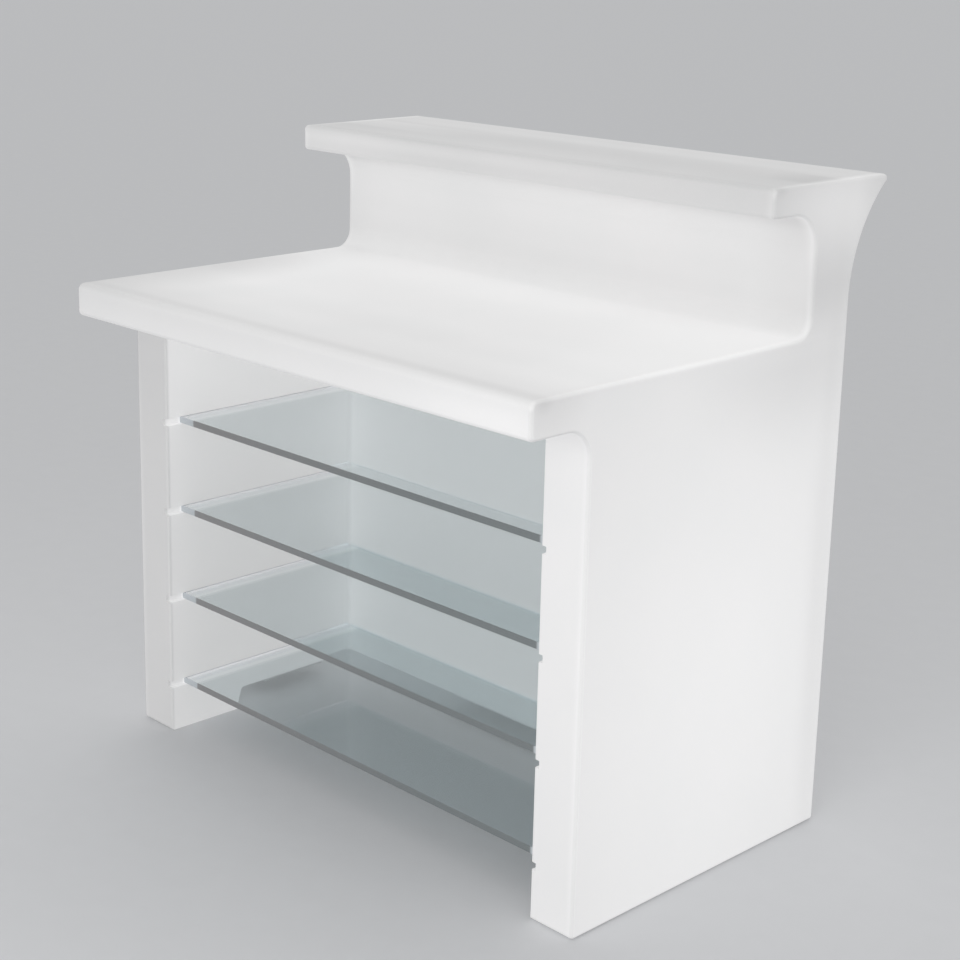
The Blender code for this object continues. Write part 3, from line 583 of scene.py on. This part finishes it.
# painted glow: the back edge, which the walls behind light, glows in the edge's emission colour
feed(ground, near_back, ground_shader, "Emission Strength")
wheel_bump = add(ground, "ShaderNodeBump", Height=wheel, Strength=0.2, Distance=0.0001).outputs[0]
feed(ground, wheel_bump, ground_shader, "Normal")

for name, (low, high) in shelf_boxes.items():
    pane = rounded_block(name.replace("shelf", "glass_pane"), low, high, PANE_CORNER)
    for level in (low.z, high.z):
        pick(pane, "EDGE", lambda point: abs(point.z - level) < SAME_PLACE)
        round_edges(ARRIS, 1)
        settle(pane)
    pane.data.materials.clear()
    pane.data.materials.append(glass)
    pane.data.materials.append(ground)
    pick(pane, "FACE", lambda middle, normal: abs(normal.z) < 0.9)
    pane.active_material_index = 1
    bpy.ops.object.material_slot_assign()
    settle(pane)
    shade_round(pane)
    # light passes a pane, where a drawn shadow would be as dark as a board's
    pane.visible_shadow = False
    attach(pane, name)
    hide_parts(name)


# Lamp covers and gaskets
# Three plates of powder coated steel close the lamp openings in the base recess.
# A black foam gasket under each one keeps water out.

# Powder coat: a pale satin film that dries in small pebbles.
PEBBLE = 0.0016
coat, coat_shader, place = new_finish("pale grey powder coat", {"IOR": 1.5})
pebble = add(
    coat, "ShaderNodeTexVoronoi", {"feature": "SMOOTH_F1"}, Vector=place, Scale=1 / PEBBLE, Smoothness=0.8,
).outputs["Distance"]
shade = add(coat, "ShaderNodeValToRGB", Fac=pebble)
shade.color_ramp.elements[0].color = colour("#C9CACB")
shade.color_ramp.elements[1].color = colour("#D6D6D6")
feed(coat, shade.outputs["Color"], coat_shader, "Base Color")
coat_gloss = add(coat, "ShaderNodeMapRange", Value=pebble, To_Min=0.42, To_Max=0.6).outputs[0]
feed(coat, coat_gloss, coat_shader, "Roughness")
pebble_bump = add(coat, "ShaderNodeBump", Height=pebble, Strength=0.3, Distance=0.0002).outputs[0]
feed(coat, pebble_bump, coat_shader, "Normal")

# Foam: matt black, with a cut face full of small closed cells.
CELL = 0.0008
foam, foam_shader, place = new_finish("closed cell neoprene foam", {"IOR": 1.5, "Roughness": 0.9})
cells = add(foam, "ShaderNodeTexVoronoi", Vector=place, Scale=1 / CELL).outputs["Distance"]
cell_tone = add(foam, "ShaderNodeValToRGB", Fac=cells)
cell_tone.color_ramp.elements[0].color = colour("#1E1E1F")
cell_tone.color_ramp.elements[1].color = colour("#343435")
feed(foam, cell_tone.outputs["Color"], foam_shader, "Base Color")
cell_bump = add(foam, "ShaderNodeBump", Height=cells, Strength=0.6, Distance=0.0003).outputs[0]
feed(foam, cell_bump, foam_shader, "Normal")


def finish_nodes(start, finish):
    """Gives a finish to all the CAD nodes whose names start alike."""
    for name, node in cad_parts.items():
        if name.startswith(start):
            node.data.materials.clear()
            node.data.materials.append(finish)


finish_nodes("lamp_cover", coat)
finish_nodes("cover_gasket", foam)


# Cover screws
# Twelve self-tapping pan head screws of zinc plated steel hold the covers, driven up into the bosses.
# The head is cold formed with a cross recess, and the shank tapers to a blunt tip.

HEAD_RADIUS = 0.004
HEAD_HEIGHT = 0.0025
HEAD_ROUNDING = 0.00175
SHANK_RADIUS = 0.002
TIP_LENGTH = 0.003
TIP_SHARE = 0.15
RECESS_WING = 0.0042
RECESS_WIDTH = 0.0009
RECESS_DEPTH = 0.0014
RECESS_END_SHARE = 0.45

# Zinc plate: a bright, slightly uneven film of small crystals, which are drawn coarser than they are.
PLATE_GRAIN = 0.0012
zinc, zinc_shader, place = new_finish("bright zinc plate", {"Metallic": 1.0})
plate = add(zinc, "ShaderNodeTexNoise", Vector=place, Scale=1 / PLATE_GRAIN, Detail=3.0).outputs[0]
plate_tone = add(zinc, "ShaderNodeValToRGB", Fac=plate)
plate_tone.color_ramp.elements[0].color = colour("#B4B7BB")
plate_tone.color_ramp.elements[1].color = colour("#D3D5D8")
feed(zinc, plate_tone.outputs["Color"], zinc_shader, "Base Color")
zinc_gloss = add(zinc, "ShaderNodeMapRange", Value=plate, To_Min=0.24, To_Max=0.42).outputs[0]
feed(zinc, zinc_gloss, zinc_shader, "Roughness")

screw_names = sorted(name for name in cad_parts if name.startswith("cover_screw"))
first_low, first_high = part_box(screw_names[0])
axis = (first_low + first_high) / 2
bpy.ops.object.select_all(action="DESELECT")
bpy.ops.mesh.primitive_cylinder_add(
    vertices=24, radius=HEAD_RADIUS, depth=HEAD_HEIGHT,
    location=(axis.x, axis.y, first_low.z + HEAD_HEIGHT / 2),
)
screw = settle(bpy.context.object)
pick(screw, "FACE", lambda middle, normal: normal.z < -0.9)
round_edges(HEAD_ROUNDING, 5)
settle(screw)
pick(screw, "FACE", lambda middle, normal: normal.z > 0.9)
bpy.ops.mesh.inset(thickness=HEAD_RADIUS - SHANK_RADIUS)
shank_length = first_high.z - first_low.z - HEAD_HEIGHT - TIP_LENGTH
bpy.ops.mesh.extrude_region_move(TRANSFORM_OT_translate={"value": (0, 0, shank_length)})
bpy.ops.mesh.extrude_region_move(TRANSFORM_OT_translate={"value": (0, 0, TIP_LENGTH)})
bpy.ops.transform.resize(value=(TIP_SHARE, TIP_SHARE, 1), center_override=(axis.x, axis.y, first_high.z))
settle(screw)
for wing_size in (
    (RECESS_WING, RECESS_WIDTH, 2 * RECESS_DEPTH),
    (RECESS_WIDTH, RECESS_WING, 2 * RECESS_DEPTH),
):
    bpy.ops.object.select_all(action="DESELECT")
    bpy.ops.mesh.primitive_cube_add(size=1, location=(axis.x, axis.y, first_low.z), scale=wing_size)
    wing = settle(bpy.context.object)
    pick(wing, "FACE", lambda middle, normal: normal.z > 0.9)
    bpy.ops.transform.resize(
        value=(RECESS_END_SHARE, RECESS_END_SHARE, 1), center_override=(axis.x, axis.y, first_low.z),
    )
    settle(wing)
    cut_away(screw, wing)
screw.data.materials.clear()
screw.data.materials.append(zinc)
shade_round(screw, 40)
for name in screw_names:
    low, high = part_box(name)
    twin = copy_of(screw, name.replace("cover_screw", "pan_screw"), (low + high) / 2 - axis)
    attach(twin, "counter")
    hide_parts(name)
bpy.data.objects.remove(screw)


# Lamps
# Three strips of light: an extruded aluminium channel on a bent foot, a white circuit board and an opal hood,
# with a moulded cap at the top.

# Extruded aluminium: bright, with fine lines along the bar from the die.
# The lines are drawn coarser than they are.
DIE_LINES = 0.0006
metal, metal_shader, place = new_finish("extruded aluminium", {"Metallic": 1.0})
stretched = add(metal, "ShaderNodeMapping", Vector=place, Scale=(1.0, 1.0, 0.02)).outputs[0]
drawn = add(metal, "ShaderNodeTexNoise", Vector=stretched, Scale=1 / DIE_LINES, Detail=3.0).outputs[0]
metal_tone = add(metal, "ShaderNodeValToRGB", Fac=drawn)
metal_tone.color_ramp.elements[0].color = colour("#C3C5C7")
metal_tone.color_ramp.elements[1].color = colour("#DADBDD")
feed(metal, metal_tone.outputs["Color"], metal_shader, "Base Color")
metal_gloss = add(metal, "ShaderNodeMapRange", Value=drawn, To_Min=0.28, To_Max=0.45).outputs[0]
feed(metal, metal_gloss, metal_shader, "Roughness")
drawn_bump = add(metal, "ShaderNodeBump", Height=drawn, Strength=0.15, Distance=0.0001).outputs[0]
feed(metal, drawn_bump, metal_shader, "Normal")

# Solder mask: a white, slightly mottled lacquer with a row of tinned pads.
PAD_PITCH = 0.0167
PAD_SHARE = 0.2
MOTTLE = 0.002
board, board_shader, place = new_finish("white solder mask", {"IOR": 1.5, "Roughness": 0.4})
board_height = add(board, "ShaderNodeSeparateXYZ", Vector=place).outputs["Z"]
pitches = add(board, "ShaderNodeMath", {"operation": "DIVIDE"}, _0=board_height, _1=PAD_PITCH).outputs[0]
in_pitch = add(board, "ShaderNodeMath", {"operation": "FRACT"}, _0=pitches).outputs[0]
on_pad = add(board, "ShaderNodeMath", {"operation": "LESS_THAN"}, _0=in_pitch, _1=PAD_SHARE).outputs[0]
mottle = add(board, "ShaderNodeTexNoise", Vector=place, Scale=1 / MOTTLE, Detail=2.0).outputs[0]
mask = add(board, "ShaderNodeMix", rgba, Factor=mottle, _6=colour("#DEDED8"), _7=colour("#E8E8E3")).outputs[2]
printed = add(board, "ShaderNodeMix", rgba, Factor=on_pad, _6=mask, _7=colour("#C9C3A4")).outputs[2]
feed(board, printed, board_shader, "Base Color")

# Opal acrylic: milky and evenly lit, with a faint haze.
HAZE = 0.006
opal, opal_shader, place = new_finish("opal acrylic", {
    "IOR": 1.49, "Roughness": 0.3, "Emission Color": colour("#FFFFFC"),
})
haze = add(opal, "ShaderNodeTexNoise", Vector=place, Scale=1 / HAZE, Detail=2.0).outputs[0]
opal_tone = add(opal, "ShaderNodeMix", rgba, Factor=haze, _6=colour("#E2E2DF"), _7=colour("#EAEAE8"))
feed(opal, opal_tone.outputs[2], opal_shader, "Base Color")
opal_glow = add(opal, "ShaderNodeMapRange", Value=haze, To_Min=0.26, To_Max=0.34).outputs[0]
feed(opal, opal_glow, opal_shader, "Emission Strength")

# White plastic: the fine spark texture of its mould takes the gloss away. It is drawn coarser than it is.
SPARK = 0.0009
housing, housing_shader, place = new_finish("spark textured white plastic", {"IOR": 1.54})
spark = add(housing, "ShaderNodeTexNoise", Vector=place, Scale=1 / SPARK, Detail=4.0).outputs[0]
housing_tone = add(housing, "ShaderNodeMix", rgba, Factor=spark, _6=colour("#DADAD7"), _7=colour("#E6E6E3"))
feed(housing, housing_tone.outputs[2], housing_shader, "Base Color")
housing_gloss = add(housing, "ShaderNodeMapRange", Value=spark, To_Min=0.42, To_Max=0.6).outputs[0]
feed(housing, housing_gloss, housing_shader, "Roughness")
spark_bump = add(housing, "ShaderNodeBump", Height=spark, Strength=0.3, Distance=0.0002).outputs[0]
feed(housing, spark_bump, housing_shader, "Normal")

finish_nodes("lamp_foot", metal)
finish_nodes("led_channel", metal)
finish_nodes("led_board", board)
finish_nodes("diffuser", opal)
finish_nodes("lamp_cap", housing)


# Cable gland
# A screwed fitting of black nylon through the front cover: a six-sided flange, a domed cap nut that squeezes
# a seal round the supply cord, and a stem that the nut inside the hollow holds.

GLAND_DROP = 0.016
GLAND_FLANGE = 0.0045
GLAND_FLANGE_RADIUS = 0.011
GLAND_NECK_RADIUS = 0.0085
GLAND_NECK = 0.001
GLAND_CAP_RADIUS = 0.0104
GLAND_DOME = 0.0035
GLAND_DOME_RADIUS = 0.0088
GLAND_DOME_ROUNDING = 0.0028
GLAND_STEM_RADIUS = 0.008
GLAND_BORE_RADIUS = 0.0035
GLAND_ROUNDING = 0.0006

# Moulded nylon: black with a soft sheen and a fine grain, which is drawn coarser than it is.
NYLON_GRAIN = 0.001
nylon, nylon_shader, place = new_finish("moulded black nylon", {"IOR": 1.53})
fine = add(nylon, "ShaderNodeTexNoise", Vector=place, Scale=1 / NYLON_GRAIN, Detail=3.0).outputs[0]
nylon_tone = add(nylon, "ShaderNodeMix", rgba, Factor=fine, _6=colour("#29292A"), _7=colour("#383839"))
feed(nylon, nylon_tone.outputs[2], nylon_shader, "Base Color")
nylon_gloss = add(nylon, "ShaderNodeMapRange", Value=fine, To_Min=0.38, To_Max=0.55).outputs[0]
feed(nylon, nylon_gloss, nylon_shader, "Roughness")
fine_bump = add(nylon, "ShaderNodeBump", Height=fine, Strength=0.2, Distance=0.0001).outputs[0]
feed(nylon, fine_bump, nylon_shader, "Normal")

gland_low, gland_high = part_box("cable_gland")
gland_axis = (gland_low + gland_high) / 2


def upright_bar(name, sides, radius, low, high):
    """A bar on the gland's axis. Heights go up from the gland's lower end."""
    bpy.ops.object.select_all(action="DESELECT")
    bpy.ops.mesh.primitive_cylinder_add(
        vertices=sides, radius=radius, depth=high - low, rotation=(0, 0, math.pi / 6),
        location=(gland_axis.x, gland_axis.y, gland_low.z + (low + high) / 2),
    )
    bpy.context.object.name = name
    return settle(bpy.context.object)


flange_low = GLAND_DROP - GLAND_FLANGE
cap_top = flange_low - GLAND_NECK
gland = upright_bar("gland_fitting", 6, GLAND_FLANGE_RADIUS, flange_low, GLAND_DROP)
cap = upright_bar("gland_cap", 6, GLAND_CAP_RADIUS, GLAND_DOME, cap_top)
for six_sided in (gland, cap):
    pick(six_sided, "EDGE", lambda point: True)
    round_edges(GLAND_ROUNDING, 3)
    settle(six_sided)
dome = upright_bar("gland_dome", 48, GLAND_DOME_RADIUS, 0, GLAND_DOME + GLAND_NECK)
pick(dome, "FACE", lambda middle, normal: normal.z < -0.9)
round_edges(GLAND_DOME_ROUNDING, 6)
settle(dome)
inside = (gland_high - gland_low).z
for joined_piece in (
    cap,
    dome,
    upright_bar("gland_neck", 48, GLAND_NECK_RADIUS, cap_top - GLAND_NECK, GLAND_DROP - GLAND_NECK),
    upright_bar("gland_stem", 48, GLAND_STEM_RADIUS, GLAND_DROP - GLAND_NECK, inside),
):
    cut_away(gland, joined_piece, "UNION")
cut_away(gland, upright_bar("gland_bore", 32, GLAND_BORE_RADIUS, -CUT_PAST, inside + CUT_PAST))
gland.data.materials.clear()
gland.data.materials.append(nylon)
shade_round(gland, 35)
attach(gland, "counter")
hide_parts("cable_gland")
finish_nodes("gland_nut", nylon)


# Driver and leads
# The driver is a white plastic box on the front cover, with a lid.
# White leads run from it to the three lamps inside the hollow.

# PVC sheath: smooth, a little glossy, with slow changes of tone.
SHEATH_TONES = 0.003
sheath, sheath_shader, place = new_finish("white PVC sheath", {"IOR": 1.53, "Roughness": 0.5})
drift = add(sheath, "ShaderNodeTexNoise", Vector=place, Scale=1 / SHEATH_TONES, Detail=2.0).outputs[0]
sheath_tone = add(sheath, "ShaderNodeMix", rgba, Factor=drift, _6=colour("#D2D2CE"), _7=colour("#E0E0DC"))
feed(sheath, sheath_tone.outputs[2], sheath_shader, "Base Color")

finish_nodes("driver", housing)
finish_nodes("lead", sheath)


# Studio
# A plain pale floor that meets a backdrop of the same tone, soft lamps from the right and above,
# and the camera.

FLOOR_RADIUS = 60.0
FLOOR_DROP = 0.0004
BACKDROP = colour("#BABCBD")

# Floor paint: matt and pale, with hardly any change of tone.
PAINT_TONES = 0.05
bpy.ops.object.select_all(action="DESELECT")
bpy.ops.mesh.primitive_circle_add(
    vertices=64, radius=FLOOR_RADIUS, fill_type="NGON", location=(0, 0, -FLOOR_DROP),
)
floor = bpy.context.object
floor.name = "floor"
paint, paint_shader, place = new_finish("matt floor paint", {"Roughness": 0.9, "Specular IOR Level": 0.1})
patches = add(paint, "ShaderNodeTexNoise", Vector=place, Scale=1 / PAINT_TONES, Detail=3.0).outputs[0]
paint_tone = add(paint, "ShaderNodeMix", rgba, Factor=patches, _6=colour("#D0D1D3"), _7=colour("#D3D4D6"))
feed(paint, paint_tone.outputs[2], paint_shader, "Base Color")
floor.data.materials.append(paint)

world = bpy.data.worlds.new("studio")
bpy.context.scene.world = world
world.use_nodes = True
nodes = world.node_tree.nodes
nodes["Background"].inputs["Color"].default_value = (1.0, 1.0, 1.0, 1.0)
nodes["Background"].inputs["Strength"].default_value = 0.50
backdrop = add(world, "ShaderNodeBackground", Color=BACKDROP).outputs[0]
rays = add(world, "ShaderNodeLightPath").outputs
seen = rays["Is Camera Ray"]
for kind in ("Is Glossy Ray", "Is Transmission Ray"):
    seen = add(world, "ShaderNodeMath", {"operation": "MAXIMUM"}, _0=seen, _1=rays[kind]).outputs[0]
mixed = add(world, "ShaderNodeMixShader", _0=seen, _1=nodes["Background"].outputs[0], _2=backdrop).outputs[0]
feed(world, mixed, nodes["World Output"], "Surface")


def lamp(name, kind, place, aim, energy, size):
    """A soft lamp that points from its place at its aim. Size is metres, or degrees across for a sun."""
    data = bpy.data.lights.new(name, kind)
    data.energy = energy
    if kind == "SUN":
        data.angle = math.radians(size)
    else:
        data.size = size
    made = bpy.data.objects.new(name, data)
    bpy.context.scene.collection.objects.link(made)
    made.location = place
    made.rotation_euler = (Vector(aim) - Vector(place)).to_track_quat("-Z", "Y").to_euler()
    made.visible_camera = False


lamp("overhead", "SUN", (1.2, -1.2, 3.0), (0, 0, 0), 0.61, 50)
lamp("key", "AREA", (1.25, -2.25, 1.15), (0.2, -0.1, 0.6), 16, 1.5)
lamp("rear_fill", "SUN", (-2.0, 2.0, 2.2), (0, 0, 0), 0.45, 60)

# the camera stands to the bartender's right, a little above the bar, with a long lens
CAMERA_PLACE = Vector((2.2632, -2.2363, 1.4982))
CAMERA_AIM = Vector((-0.0069, -0.1270, 0.6998))
CAMERA_ROLL = 0.74
FRAME_WIDTH_MM = 36.0
LENS_MM = 71.78
LENS_SHIFT = 0.08
FARTHEST_SEEN = 200.0
camera_data = bpy.data.cameras.new("camera")
camera_data.sensor_width = FRAME_WIDTH_MM
camera_data.lens = LENS_MM
camera_data.shift_x = LENS_SHIFT
camera_data.shift_y = -LENS_SHIFT
camera_data.clip_end = FARTHEST_SEEN
camera = bpy.data.objects.new("camera", camera_data)
bpy.context.scene.collection.objects.link(camera)
camera.location = CAMERA_PLACE
camera.rotation_euler = (CAMERA_AIM - CAMERA_PLACE).to_track_quat("-Z", "Y").to_euler()
camera.rotation_euler.rotate_axis("Z", math.radians(CAMERA_ROLL))
bpy.context.scene.camera = camera
bpy.context.scene.view_settings.view_transform = "Standard"
